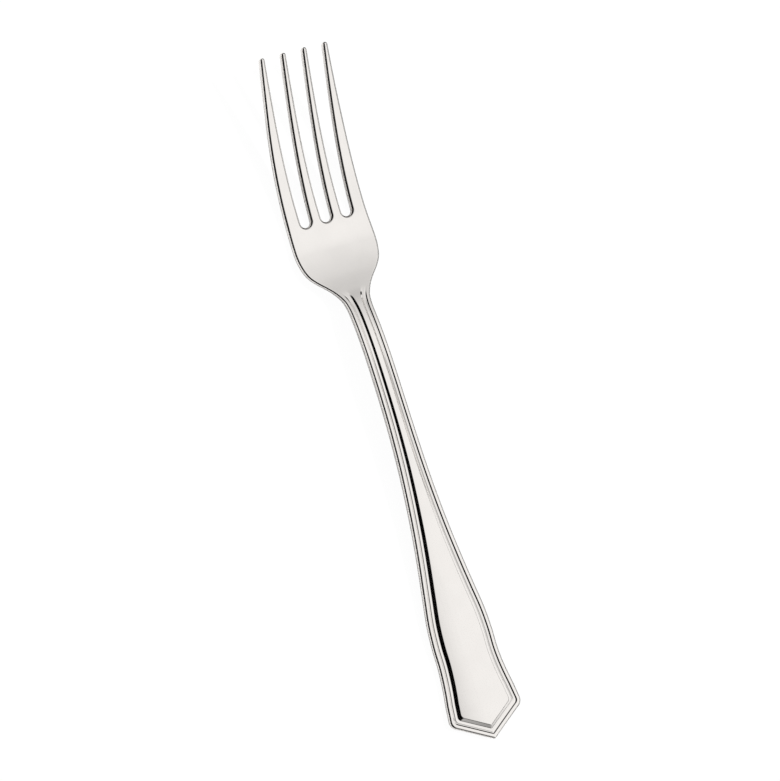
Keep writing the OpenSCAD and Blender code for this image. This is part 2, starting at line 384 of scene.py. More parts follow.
@dataclass
class Shell:
    """Closed mesh of one piece: welded skin faces, and caps hidden against the neighbours."""
    name: str
    points: Array
    faces: list[list[int]]
    skin_count: int
    rim: Array

    @classmethod
    def from_parts(cls, name: str, grids: list[Array], loops: list[Array]) -> "Shell":
        """Welds grids of points into one skin and closes it with flat caps.

        A grid's cells become quads, and a cell with a collapsed side becomes a triangle. Faces
        are turned outwards by the sign of the volume that the whole shell encloses.

        Args:
            name: Name of the piece.
            grids: Arrays of points with their rim shares, rows x columns x 4.
            loops: Closed outlines of the caps, each an array of points in order.

        Returns:
            The welded shell.
        """
        quads, rings, start = [], [], 0
        for grid in grids:
            index = start + np.arange(grid.shape[0] * grid.shape[1]).reshape(grid.shape[:2])
            cells = [index[:-1, :-1], index[1:, :-1], index[1:, 1:], index[:-1, 1:]]
            quads.append(np.stack(cells, -1).reshape(-1, 4))
            start += index.size
        for loop in loops:
            rings.append(start + np.arange(len(loop)))
            start += len(loop)
        raw = np.vstack([grid.reshape(-1, 4) for grid in grids] + list(loops))
        _, first, number = np.unique(weld_keys(raw[:, :3]), axis=0, return_index=True,
                                     return_inverse=True)
        number = number.reshape(-1)
        faces = [each_once(cell) for cell in number[np.vstack(quads)].tolist()]
        faces = [face for face in faces if len(face) > 2]
        caps = [each_once(number[ring].tolist()) for ring in rings]
        shell = cls(name, raw[first, :3], faces + caps, len(faces), raw[first, 3])
        shell.turn_outwards()
        return shell

    def corner_arrays(self) -> tuple[Array, Array, Array]:
        """Corners of every skin face as three arrays of point numbers, two triangles to a quad.

        Returns:
            First, second and third corners.
        """
        fans = [(face[0], face[i], face[i + 1]) for face in self.faces[:self.skin_count]
                for i in range(1, len(face) - 1)]
        a, b, c = np.array(fans).T
        return a, b, c

    def turn_outwards(self) -> None:
        """Reverses a skin whose volume comes out negative, and turns caps away from the middle."""
        a, b, c = self.corner_arrays()
        middle = self.points.mean(0)
        pa, pb, pc = (self.points[i] - middle for i in (a, b, c))
        if np.einsum("ij,ij->i", pa, np.cross(pb, pc)).sum() < 0:
            self.faces[:self.skin_count] = [face[::-1] for face in self.faces[:self.skin_count]]
        for i in range(self.skin_count, len(self.faces)):
            ring = self.points[self.faces[i]]
            normal = np.cross(ring, np.roll(ring, -1, 0)).sum(0)
            if normal @ (ring.mean(0) - middle) < 0:
                self.faces[i] = self.faces[i][::-1]

    def face_sums(self) -> Array:
        """Sum of the area-weighted normals of the skin faces round each point.

        Returns:
            A vector for each point, as long as twice the area round it.
        """
        a, b, c = self.corner_arrays()
        normal = np.cross(self.points[b] - self.points[a], self.points[c] - self.points[a])
        total = np.zeros_like(self.points)
        for corner in (a, b, c):
            np.add.at(total, corner, normal)
        return total

    def to_object(self, normals: Array) -> bpy.types.Object:
        """Makes the Blender object, with smooth normals on the skin and flat ones on the caps.

        Args:
            normals: Unit normal at each point.

        Returns:
            The object, in the scene.
        """
        mesh = bpy.data.meshes.new(self.name)
        mesh.from_pydata(self.points.tolist(), [], self.faces)
        mesh.attributes.new(RIM_SHARE, "FLOAT", "POINT").data.foreach_set("value", self.rim)
        mesh.shade_smooth()
        loop_normals = []
        for number, face in enumerate(self.faces):
            if number < self.skin_count:
                loop_normals.extend(normals[face].tolist())
            else:
                loop_normals.extend([tuple(mesh.polygons[number].normal)] * len(face))
        mesh.normals_split_custom_set(loop_normals)
        piece = bpy.data.objects.new(self.name, mesh)
        bpy.context.scene.collection.objects.link(piece)
        return piece


def shared_normals(shells: list[Shell]) -> list[Array]:
    """Smooth normals that agree wherever the skins of neighbouring pieces share a point.

    Args:
        shells: All pieces of the fork.

    Returns:
        For each shell, a unit normal at each of its points.
    """
    points = np.vstack([shell.points for shell in shells])
    sums = np.vstack([shell.face_sums() for shell in shells])
    keys, number = np.unique(weld_keys(points), axis=0, return_inverse=True)
    total = np.zeros((len(keys), 3))
    np.add.at(total, number.reshape(-1), sums)
    length = np.linalg.norm(total, axis=1, keepdims=True)
    unit = total / np.maximum(length, np.finfo(float).tiny)
    ends = np.cumsum([len(shell.points) for shell in shells])[:-1]
    return np.split(unit[number.reshape(-1)], ends)


@dataclass(frozen=True)
class SectionSteps:
    """How many cells each stretch of a section gets, from the edge to the middle."""
    fillet: int = 8
    wall: int = 4
    rib: int = 4
    flank: int = 10
    thread: int = 8
    slope: int = 16
    panel: int = 12
    lane: int = 8
    shoulder: int = 5
    slot_bottom: int = 30
    slot_side: int = 16


STEPS = SectionSteps()


@dataclass
class EdgeRound:
    """Rounded rim between the back and the face, as distances in from the edge and heights."""
    form: ForkForm
    count: SectionSteps

    def quarter(self, radius: Array) -> tuple[Array, Array]:
        """Quarter circle up to the wall: inset r(1 - sin a) at height r(1 - cos a)."""
        a = np.linspace(0, QUARTER_TURN, self.count.fillet + 1)
        return radius[..., None] * (1 - np.sin(a)), radius[..., None] * (1 - np.cos(a))

    def insets(self, t: Array) -> Array:
        """Distances in from the edge for places t, from the back round the wall to the face.

        Args:
            t: Places along the fork.

        Returns:
            Distances, with the section's columns on the last axis.
        """
        back, _ = self.quarter(self.form.back_round(t))
        face, _ = self.quarter(self.form.face_round(t))
        wall = np.zeros(back.shape[:-1] + (self.count.wall - 1,))
        return np.concatenate([back, wall, face[..., ::-1]], -1)

    def heights(self, t: Array) -> Array:
        """Heights above the back for places t, one row for each, from the back to the face.

        Args:
            t: Places along the fork.

        Returns:
            Heights, with the section's columns on the last axis.
        """
        thick = self.form.thick(t)[..., None]
        _, back = self.quarter(self.form.back_round(t))
        _, drop = self.quarter(self.form.face_round(t))
        face = thick - drop[..., ::-1]
        wall = lerp(back[..., -1:], face[..., :1], steps(self.count.wall)[:-1])
        return np.concatenate([back, wall, face], -1)

    def own_heights(self, t: Array) -> Array:
        """Heights of sections whose columns have a place t each."""
        columns = np.arange(t.shape[-1])
        return self.heights(t)[:, columns, columns]

    def shares(self) -> Array:
        """Shares of the rim's finish, which fade out to nothing on the back and on the face."""
        fade = np.sin(np.linspace(0, QUARTER_TURN, self.count.fillet + 1))
        return np.concatenate([fade, np.ones(self.count.wall - 1), fade[::-1]])


@dataclass
class BorderSection:
    """Stamped face of the handle and the neck: rib, groove, thread, slope and crowned panel."""
    form: ForkForm
    count: SectionSteps
    foot_share: float = 0.15
    floor_share: float = 0.125

    def columns(self, t: Array) -> tuple[Array, Array]:
        """Distances in from the edge and heights above the rim, from the rib to the slope's top.

        The flank falls and the slope rises as bevels with rounded feet. The thread is a low cubic
        bump that rises from the groove at one slope and falls to the channel at another.

        Args:
            t: Places along the fork, which set how wide and high the slope is.

        Returns:
            Two arrays with a row for each place.
        """
        f, n = self.form, self.count
        t = t[:, None]
        one = np.ones_like(t)
        flank, thread, slope = steps(n.flank), steps(n.thread), steps(n.slope)
        s = np.clip((thread - self.floor_share) / (1 - self.floor_share), 0, 1)
        bump = f.thread_w * s * (1 - s) * (f.thread_rise * (1 - s) + f.thread_fall * s)
        d = np.concatenate([
            one * lerp(f.face_r, f.rib_w, steps(n.rib)),
            one * lerp(f.rib_w, f.groove_at, flank),
            one * lerp(f.groove_at, f.channel_at, thread),
            lerp(f.channel_at, f.slope_top(t), slope)], 1)
        h = np.concatenate([
            one * np.zeros(n.rib),
            one * -f.groove_d * bevel(flank, self.foot_share),
            one * (bump - f.groove_d),
            lerp(-f.groove_d, f.panel_z(t), bevel(slope, self.foot_share))], 1)
        d = f.face_r + (d - f.face_r) * f.draw_in(t)
        return d, h * f.border_share(t)

    def panel(self, t: Array, edge: Array) -> tuple[Array, Array]:
        """Panel with a crown of one radius R, (edge^2 - x^2) / 2R high.

        Args:
            t: Places along the fork.
            edge: Half width of the panel at each place.

        Returns:
            Shares of the half width from the panel's edge to the middle, and a row of heights
            for each place.
        """
        share = 1 - steps(self.count.panel)
        crown = edge[:, None] ** 2 * (1 - share ** 2) / (2 * self.form.crown_r)
        return share, (self.form.panel_z(t)[:, None] + crown) * self.form.border_share(t)[:, None]


def place(form: ForkForm, x: Array, t: Array, height: Array, rim: Array | float = 0.0) -> Array:
    """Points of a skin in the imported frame, each with its share of the rim's softer finish.

    Args:
        form: Sizes of the fork.
        x: Places across the fork.
        t: Places along the fork.
        height: Heights above the back.
        rim: Share of the rim's finish.

    Returns:
        Array whose last axis holds x, y, z and the share.
    """
    x, t, height, rim = np.broadcast_arrays(x, t, height, rim)
    z = form.back_z(t) + height + form.dish_z(t, x)
    return np.stack([x, t - form.overall_l / 2, z, rim], -1)


def closed_ring(half: Array) -> Array:
    """Full sections from right halves that run from the back's middle to the face's middle."""
    left = half[:, ::-1] * MIRROR
    return np.concatenate([half, left[:, 1:]], 1)


@dataclass(kw_only=True)
class Region:
    """Part of the fork's skin, with the form that it follows and the cells of its sections."""
    form: ForkForm = FORM
    count: SectionSteps = STEPS

    @property
    def rim(self) -> EdgeRound:
        """Rounded edge of the region."""
        return EdgeRound(self.form, self.count)

    def half_sections(self, t: Array, over: Array, under: Array, top: Array) -> Array:
        """Right halves of sections, which run over the back, round the rim and over the face.

        Args:
            t: Places along the fork, one for each section.
            over: Places across the fork of the face's columns, from the rim to the middle.
            under: Places across the fork of the back's columns, from the rim to the middle.
            top: Heights of the face above the back.

        Returns:
            Points with their rim shares, sections x columns x 4.
        """
        f, rim, row = self.form, self.rim, t[:, None]
        edge = place(f, f.inset(row, rim.insets(t)), row, rim.heights(t), rim.shares())
        back = place(f, under[:, ::-1], row, 0.0)
        return np.concatenate([back, edge, place(f, over, row, top)], 1)

    def bordered_rows(self, t: Array) -> Array:
        """Right halves of the sections at places t, with the border and the panel.

        Args:
            t: Places along the fork.

        Returns:
            Points with their rim shares, sections x columns x 4.
        """
        f, row = self.form, t[:, None]
        border = BorderSection(f, self.count)
        d, h = border.columns(t)
        share, crown = border.panel(t, f.inset(t, f.panel_line(t)))
        panel = share * f.inset(row, f.panel_line(row))
        over = np.concatenate([f.inset(row, d), panel], 1)
        under = np.concatenate([f.inset(row, f.back_line(d, d[:, -1:])), panel], 1)
        return self.half_sections(t, over, under, np.concatenate([h, crown], 1) + f.thick(row))


@dataclass(kw_only=True)
class Handle(Region):
    """Handle from its pointed end to the slim part."""
    stations: int = 230
    corner_steps: int = 14
    edge_steps: int = 16
    point_steps: int = 8
    point_r: float = 0.0008

    @property
    def flank_at(self) -> float:
        """Place on the flank where the straight line to the shoulder's corner starts."""
        return lerp(self.form.point_l, self.form.waist_at, self.form.end_shares[1][0])

    def corner(self) -> tuple[Array, Array, Array]:
        """Corner of the shoulder and the outward normals of the flank and of the end's edge.

        Returns:
            The corner across and along the fork, and the two normals.
        """
        f = self.form
        corner = np.array([f.shoulder_w / 2, f.point_l])
        along = np.array([float(f.half_w(np.array(self.flank_at))), self.flank_at]) - corner
        normals = [np.array([v[1], -v[0]]) / np.linalg.norm(v) for v in (along, corner)]
        return corner, normals[0], normals[1]

    def end_plan(self, d: Array) -> Array:
        """Lines parallel to the end's edge: round the shoulder, straight, and round the point.

        A line's arc round the shoulder is centred on the mitre, at d and the arc's radius in
        from both edges. The arc round the point is centred on the middle line in the same way.

        Args:
            d: Distances in from the edge.

        Returns:
            Points across and along the fork, stations x distances x 2.
        """
        f = self.form
        corner, flank, edge = self.corner()
        mitre = (flank + edge) / (1 + flank @ edge)
        angles = np.arctan2([flank[1], edge[1], -1], [flank[0], edge[0], 0])
        d = d[:, None]
        large = np.maximum(f.inner_r, f.corner_r - d)
        ray = turn_rays(angles[0], angles[1], self.corner_steps)
        arc = corner - mitre * (d + large) + large * ray
        small = np.maximum(f.edge_r, self.point_r - d)
        middle = np.concatenate([np.zeros_like(small), -(d + small) / edge[1]], 1)
        ray = turn_rays(angles[1], angles[2], self.point_steps)
        ray[-1, :, 0] = 0
        point = middle + small * ray
        straight = lerp(arc[-1], point[0], steps(self.edge_steps)[:-1, None, None])
        return np.concatenate([arc, straight, point])

    def end_rows(self) -> Array:
        """Right halves of the sections round the pointed end, each from the back to the face.

        Returns:
            Points with their rim shares, stations x columns x 4.
        """
        f, rim = self.form, self.rim
        border = BorderSection(f, self.count)
        d, h = (row[0] for row in border.columns(np.zeros(1)))
        lines = self.end_plan(d)
        share, crown = border.panel(np.zeros(len(lines)), lines[:, -1, 0])
        inner = lines[:, -1:, :] * np.stack([share, np.ones_like(share)], -1)
        plan = np.concatenate([lines, inner], 1)
        under = np.concatenate([self.end_plan(f.back_line(d, d[-1])), inner], 1)[:, ::-1]
        height = np.concatenate([np.broadcast_to(h, lines.shape[:2]), crown], 1)
        face = place(f, plan[..., 0], plan[..., 1], height + f.thick(plan[..., 1]))
        back = place(f, under[..., 0], under[..., 1], 0.0)
        edge = self.end_plan(rim.insets(np.zeros(())))
        side = place(f, edge[..., 0], edge[..., 1], rim.own_heights(edge[..., 1]), rim.shares())
        return np.concatenate([back, side, face], 1)

    def shell(self) -> Shell:
        """Skin from the neck's side down to the point, closed by a cap against the neck."""
        places = np.linspace(self.form.handle_l, self.flank_at, self.stations + 1)
        rings = closed_ring(np.concatenate([self.bordered_rows(places)[:-1], self.end_rows()]))
        return Shell.from_parts("handle_skin", [rings], [rings[0, :-1]])


@dataclass(kw_only=True)
class Neck(Region):
    """Arched neck, where the border runs out into the head."""
    stations: int = 60

    def shell(self) -> Shell:
        """Skin between the handle and the head, closed by a cap against each."""
        places = np.linspace(self.form.head_at, self.form.handle_l, self.stations + 1)
        rings = closed_ring(self.bordered_rows(places))
        return Shell.from_parts("neck_skin", [rings], [rings[0, :-1], rings[-1, :-1]])


@dataclass(kw_only=True)
class Head(Region):
    """Dished head with three round slot ends, whose edges are rounded like the rim."""
    slots_from: float = 0.1535
    stations: int = 44

    @property
    def lane_line(self) -> float:
        """Distance from a slot's middle line to the line that parts it from its neighbour."""
        return self.form.slot_pitch / 2

    @property
    def outer_line(self) -> float:
        """Distance from the middle line to the line where the rim's block meets the slots'."""
        return self.form.slot_pitch + self.lane_line

    def bottom_columns(self, radius: Array) -> Array:
        """Places across the fork where the blocks round the slots begin, from the rim inwards.

        Args:
            radius: Radius of the rim's rounded edge there.

        Returns:
            Places across the fork.
        """
        n = self.count
        rim = self.form.inset(np.array([self.slots_from]), radius)
        return np.concatenate([
            lerp(rim, self.outer_line, steps(n.shoulder)),
            lerp(self.outer_line, self.lane_line, steps(n.slot_bottom)),
            lerp(self.lane_line, 0, steps(n.slot_bottom // 2))])

    def plain_rows(self) -> Array:
        """Right halves of the sections from the neck to the blocks round the slots.

        A column's share of the half width goes from the neck's to the blocks'.

        Returns:
            Points with their rim shares, sections x columns x 4.
        """
        f = self.form
        border = BorderSection(f, self.count)
        start, end = np.array([f.head_at]), np.array([self.slots_from])
        d, _ = border.columns(start)
        share, _ = border.panel(start, start)
        t = np.linspace(f.head_at, self.slots_from, self.stations + 1)
        row, way = t[:, None], ease(np.linspace(0, 1, len(t)))[:, None]
        sides = []
        for radius, line in ((f.face_round, d[0]), (f.back_round, f.back_line(d[0], d[0, -1]))):
            panel = share * f.inset(start, f.panel_line(start))
            first = np.concatenate([f.inset(start, line), panel]) / f.inset(start, radius(start))
            last = self.bottom_columns(radius(end)) / f.inset(end, radius(end))
            sides.append(lerp(first, last, way) * f.inset(row, radius(row)))
        return self.half_sections(t, sides[0], sides[1], f.thick(row))

    def rim_rows(self) -> Array:
        """Right rim from the blocks' start to the tines' roots, from the back to the face.

        Returns:
            Points with their rim shares, sections x columns x 4.
        """
        f = self.form
        t = np.linspace(self.slots_from, f.root_at, self.count.slot_side + 1)
        row, shares = t[:, None], steps(self.count.shoulder)
        over = lerp(f.inset(row, f.face_round(row)), self.outer_line, shares)
        under = lerp(f.inset(row, f.back_r), self.outer_line, shares)
        return self.half_sections(t, over, under, f.thick(row))

    def slot_rows(self, middle: float) -> Array:
        """Rays from a round slot end to its block's outline, over the face, down and back below.

        Every point of a ray lies at a radius from the slot end's centre: evenly spaced on the
        flat faces, and half the slot's width and the rim's inset on the rounded edge.

        Args:
            middle: Place across the fork of the slot's middle line.

        Returns:
            Points with their rim shares, rays x profile x 4, from the left side round the bottom
            to the right side.
        """
        f, n, rim, lane = self.form, self.count, self.rim, self.lane_line
        side = np.linspace(f.root_at, self.slots_from, n.slot_side + 1)
        across = np.linspace(-lane, lane, n.slot_bottom + 1)[1:-1]
        x = np.concatenate([np.full(len(side), -lane), across, np.full(len(side), lane)])
        t = np.concatenate([side, np.full(len(across), self.slots_from), side[::-1]]) - f.root_at
        reach = np.hypot(x, t)[:, None]
        insets = rim.insets(np.array(self.slots_from))[::-1]
        edge = f.slot_w / 2 + insets
        radius = np.concatenate([
            lerp(reach, edge[0], np.linspace(0, 1, n.lane + 1)[:-1]),
            np.ones_like(reach) * edge,
            lerp(edge[-1], reach, steps(n.lane))], 1)
        px = x[:, None] / reach * radius + middle
        pt = t[:, None] / reach * radius + f.root_at
        px[0], px[-1] = middle - radius[0], middle + radius[-1]
        pt[0], pt[-1] = f.root_at, f.root_at
        turned = slice(n.lane, n.lane + len(insets))
        height = np.where(np.arange(radius.shape[1]) < n.lane, f.thick(pt), 0)
        height[:, turned] = rim.own_heights(pt[:, turned][:, ::-1])[:, ::-1]
        flat = np.zeros(n.lane)
        return place(f, px, pt, height, np.concatenate([flat, rim.shares()[::-1], flat]))

    def shell(self) -> Shell:
        """Whole head: the plain part, three blocks round the slots and the rim at both sides."""
        plain, right = closed_ring(self.plain_rows()), self.rim_rows()
        left = (right * MIRROR)[:, ::-1]
        slots = [self.slot_rows(i * self.form.slot_pitch) for i in (-1, 0, 1)]
        before = [left[-1]] + [slot[-1] for slot in slots]
        after = [slot[0][::-1] for slot in slots] + [right[-1]]
        lanes = [np.concatenate(pair) for pair in zip(before, after)]
        return Shell.from_parts("head_skin", [plain, right, left] + slots,
                                [plain[0, :-1]] + lanes)


class Side(Enum):
    """Side of the middle line that a tine stands on."""
    LEFT = -1
    RIGHT = 1


class Lane(Enum):
    """Which tine of its side a tine is, by its inner slot's number from the middle slot."""
    INNER = 0
    OUTER = 1


@dataclass(kw_only=True)
class Tine(Region):
    """One tine: a rounded bar that tapers to a round tip."""
    side: Side
    lane: Lane
    stations: int = 150
    tip_steps: int = 12

    @property
    def name(self) -> str:
        """Name of the tine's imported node."""
        return f"{self.side.name}_{self.lane.name}_tine".lower()

    @property
    def at_rim(self) -> bool:
        """Whether the tine's outer edge is the fork's rim and not a slot's."""
        return self.lane is Lane.OUTER

    def slot_half(self, t: Array) -> Array:
        """Half of the width of the slots at places t."""
        f = self.form
        return lerp(f.slot_w, f.slot_pitch - f.tine_tip_w, (t - f.root_at) / f.tine_l) / 2

    def inner_line(self, t: Array) -> Array:
        """Edge next to the slot on the side of the middle line."""
        return self.lane.value * self.form.slot_pitch + self.slot_half(t)

    def outer_line(self, t: Array, d: Array | float = 0.0) -> Array:
        """Line that runs at d inside the outer edge.

        Args:
            t: Places along the fork.
            d: Distance in from the edge.

        Returns:
            Places across the fork.
        """
        if self.at_rim:
            return self.form.inset(t, d)
        return (self.lane.value + 1) * self.form.slot_pitch - self.slot_half(t) - d

    def rows(self, t: Array) -> Array:
        """Closed sections at places t, from the middle of the back round the outer edge first.

        Each face is evenly divided between its rounded edges and a line that runs from where
        the head's blocks meet to the middle of the tip. The tip shrinks towards its middle on a
        quarter ellipse, sqrt(1 - s^2).

        Args:
            t: Places along the fork.

        Returns:
            Points with their rim shares, sections x columns x 4.
        """
        f, n, rim, row = self.form, self.count, self.rim, t[:, None]
        root = np.array([f.root_at])
        head = Head(form=f, count=n)
        meet = head.outer_line if self.at_rim else head.lane_line
        start, end = self.inner_line(root), self.outer_line(root)
        share = lerp((meet - start) / (end - start), 0.5, (row - f.root_at) / f.tine_l)
        inner, outer, thick = self.inner_line(row), self.outer_line(row), f.thick(row)
        middle = lerp(inner, outer, share)
        face_r, back_r = f.face_round(row), f.back_round(row)
        out, lane = steps(n.shoulder if self.at_rim else n.lane), steps(n.lane)
        insets, heights, shares = rim.insets(t), rim.heights(t), rim.shares()
        stretches = (
            (lerp(self.outer_line(row, back_r), middle, out)[:, ::-1], 0.0, 0.0),
            (self.outer_line(row, insets), heights, shares),
            (lerp(self.outer_line(row, face_r), middle, out), thick, 0.0),
            (lerp(middle, inner + face_r, lane[:-1]), thick, 0.0),
            (inner + insets[:, ::-1], heights[:, ::-1], shares[::-1]),
            (lerp(inner + back_r, middle, lane), 0.0, 0.0))
        points = np.concatenate([place(f, x, row, z, s) for x, z, s in stretches], 1)
        s = np.clip((t - f.overall_l + f.tip_l) / f.tip_l, 0, 1)
        size = np.sqrt(1 - s * s)[:, None]
        centre_x = (inner + outer) / 2
        centre_z = f.back_z(row) + thick / 2 + f.dish_z(row, centre_x)
        points[..., 0] = lerp(centre_x, points[..., 0], size) * self.side.value
        points[..., 2] = lerp(centre_z, points[..., 2], size)
        return points

    def shell(self) -> Shell:
        """Skin from the root to the tip, where it closes in one point, and a cap at the head."""
        f = self.form
        bar = np.linspace(f.root_at, f.overall_l - f.tip_l, self.stations + 1)
        turn = np.linspace(0, QUARTER_TURN, self.tip_steps + 1)[1:]
        tip = f.overall_l - f.tip_l * (1 - np.sin(turn))
        rows = self.rows(np.concatenate([bar, tip]))
        return Shell.from_parts(f"{self.name}_skin", [rows], [rows[0, :-1]])


class NodeSketch:
    """Short calls for adding nodes to a tree and joining them."""

    def __init__(self, tree: bpy.types.NodeTree) -> None:
        """Keeps the tree that the calls add to."""
        self.tree = tree

    def join(self, source: object, target: Socket) -> None:
        """Links a socket to an input, or writes a plain value into it."""
        if isinstance(source, Socket):
            self.tree.links.new(source, target)
        else:
            target.default_value = source

    def join_all(self, sources: dict[str | int, object], node: bpy.types.Node) -> None:
        """Joins sockets or plain values to a node's inputs, by their names or numbers."""
        for name, source in sources.items():
            self.join(source, node.inputs[name])

    def add(self, kind: str, sources: dict[str | int, object] | None = None) -> bpy.types.Node:
        """New node of a kind, with sockets or plain values joined to its inputs.

        Args:
            kind: Name of the node's type after ShaderNode.
            sources: Sockets or plain values by the input's name or number.

        Returns:
            The node.
        """
        node = self.tree.nodes.new(f"ShaderNode{kind}")
        self.join_all(sources or {}, node)
        return node

    def math(self, operation: str, a: object, b: object = 0.0) -> Socket:
        """Result of a math node on one or two values.

        Args:
            operation: Name of the operation.
            a: First value.
            b: Second value.

        Returns:
            Its output.
        """
        node = self.add("Math", {0: a, 1: b})
        node.operation = operation
        return node.outputs[0]

    def times(self, *values: object) -> Socket:
        """Product of the values."""
        return reduce(lambda a, b: self.math("MULTIPLY", a, b), values)

    def most(self, *values: object) -> Socket:
        """Largest of the values."""
        return reduce(lambda a, b: self.math("MAXIMUM", a, b), values)

    def plus(self, a: object, b: object) -> Socket:
        """Sum of two values."""
        return self.math("ADD", a, b)

    def minus(self, a: object, b: object) -> Socket:
        """First value less the second."""
        return self.math("SUBTRACT", a, b)

    def rest(self, value: object) -> Socket:
        """What a share leaves of the whole."""
        return self.minus(1.0, value)

    def degrees(self, operation: str, a: object, b: object = 0.0) -> Socket:
        """Angle in degrees from an inverse function."""
        return self.math("DEGREES", self.math(operation, a, b))

    def ramp(self, value: object, start: float, end: float, low: float = 0.0,
             high: float = 1.0) -> Socket:
        """Smooth step of a value from low at start to high at end.

        Args:
            value: Value that the step follows.
            start: Where it starts.
            end: Where it ends.
            low: Result up to the start.
            high: Result from the end on.

        Returns:
            Its output.
        """
        node = self.add("MapRange", {"Value": value, "From Min": start, "From Max": end,
                                     "To Min": low, "To Max": high})
        node.interpolation_type = "SMOOTHSTEP"
        return node.outputs["Result"]

    def noise(self, vector: object, scale: object, detail: float) -> Socket:
        """Value of a noise texture."""
        node = self.add("TexNoise", {"Vector": vector, "Scale": scale, "Detail": detail})
        return node.outputs[0]

    def combine(self, x: object, y: object, z: object) -> Socket:
        """Vector from three values."""
        return self.add("CombineXYZ", {0: x, 1: y, 2: z}).outputs[0]

    def grey(self, level: Socket) -> Socket:
        """Grey colour of one level."""
        return self.combine(level, level, level)

    def separate(self, vector: Socket) -> tuple[Socket, ...]:
        """Three values of a vector."""
        return tuple(self.add("SeparateXYZ", {0: vector}).outputs)


@dataclass(frozen=True)
class PolishedSteel:
    """Mirror-polished stainless steel with faint marks from the polishing wheel and from use.

    The marks are hairlines along the fork, soft mottling and a few fine scratches, drawn from
    noise. A wear share says how far a mark moves the steel from its low to its high roughness.
    """
    colour: tuple[float, float, float] = (0.89, 0.86, 0.83)
    roughness_low: float = 0.07
    roughness_high: float = 0.13
    rim_roughness: float = 0.2
    bump_distance: float = 4e-7
    wear_range: Fade = (0.35, 0.65)
    hairline_scale: float = 900.0
    hairline_detail: float = 3.0
    hairline_stretch: float = 0.035
    hairline_wear: float = 0.6
    mottle_scale: float = 160.0
    mottle_detail: float = 2.0
    mottle_wear: float = 0.4
    mottle_tint: Fade = (0.3, 0.7, 0.985, 1.01)
    scratch_scale: float = 260.0
    scratch_detail: float = 5.0
    scratch_slant: float = 0.35
    scratch_stretch: float = 0.02
    scratch_range: Fade = (0.66, 0.72)
    scratch_wear: float = 0.5
    scratch_depth: float = 0.6

    def marks(self) -> bpy.types.ShaderNodeTree:
        """Node group of the marks: a place, a colour and a rim share in, three values out.

        Returns:
            Group with a colour, a roughness and a bump's height out.
        """
        group = bpy.data.node_groups.new("polish_marks", "ShaderNodeTree")
        for in_out, name, kind in (
                ("INPUT", "Place", "Vector"), ("INPUT", "Colour", "Color"),
                ("INPUT", "Rim Share", "Float"), ("OUTPUT", "Colour", "Color"),
                ("OUTPUT", "Roughness", "Float"), ("OUTPUT", "Height", "Float")):
            group.interface.new_socket(name=name, in_out=in_out, socket_type=f"NodeSocket{kind}")
        sketch = NodeSketch(group)
        plus, times = sketch.plus, sketch.times
        given = group.nodes.new("NodeGroupInput").outputs
        x, y, z = sketch.separate(given["Place"])
        along = sketch.combine(x, times(y, self.hairline_stretch), z)
        hairline = sketch.noise(along, self.hairline_scale, self.hairline_detail)
        mottle = sketch.noise(given["Place"], self.mottle_scale, self.mottle_detail)
        slanted = sketch.combine(plus(x, times(y, self.scratch_slant)),
                                 times(y, self.scratch_stretch), z)
        scratch = sketch.noise(slanted, self.scratch_scale, self.scratch_detail)
        scratch = sketch.ramp(scratch, *self.scratch_range)
        wear = plus(times(hairline, self.hairline_wear), times(mottle, self.mottle_wear))
        share = plus(sketch.ramp(wear, *self.wear_range), times(scratch, self.scratch_wear))
        spread = self.roughness_high - self.roughness_low
        polished = plus(self.roughness_low, times(share, spread))
        tint = sketch.add("HueSaturation", {"Color": given["Colour"],
                                            "Value": sketch.ramp(mottle, *self.mottle_tint)})
        made = {"Colour": tint.outputs[0],
                "Roughness": plus(polished, times(given["Rim Share"], self.rim_roughness)),
                "Height": sketch.minus(hairline, times(scratch, self.scratch_depth))}
        sketch.join_all(made, group.nodes.new("NodeGroupOutput"))
        return group

    def material(self) -> bpy.types.Material:
        """Material that feeds the marks to the steel's colour, roughness and bump.

        Returns:
            The material.
        """
        material = bpy.data.materials.new("polished_stainless_steel")
        material.use_nodes = True
        sketch = NodeSketch(material.node_tree)
        rim, marks = sketch.add("Attribute"), sketch.add("Group")
        rim.attribute_name = RIM_SHARE
        marks.node_tree = self.marks()
        sketch.join_all({"Place": sketch.add("TexCoord").outputs["Object"],
                         "Colour": (*self.colour, 1), "Rim Share": rim.outputs["Fac"]}, marks)
        bump = sketch.add("Bump", {"Distance": self.bump_distance,
                                   "Height": marks.outputs["Height"]})
        sketch.join_all({"Base Color": marks.outputs["Colour"], "Metallic": 1.0,
                         "Roughness": marks.outputs["Roughness"],
                         "Normal": bump.outputs["Normal"]},
                        material.node_tree.nodes["Principled BSDF"])
        return material


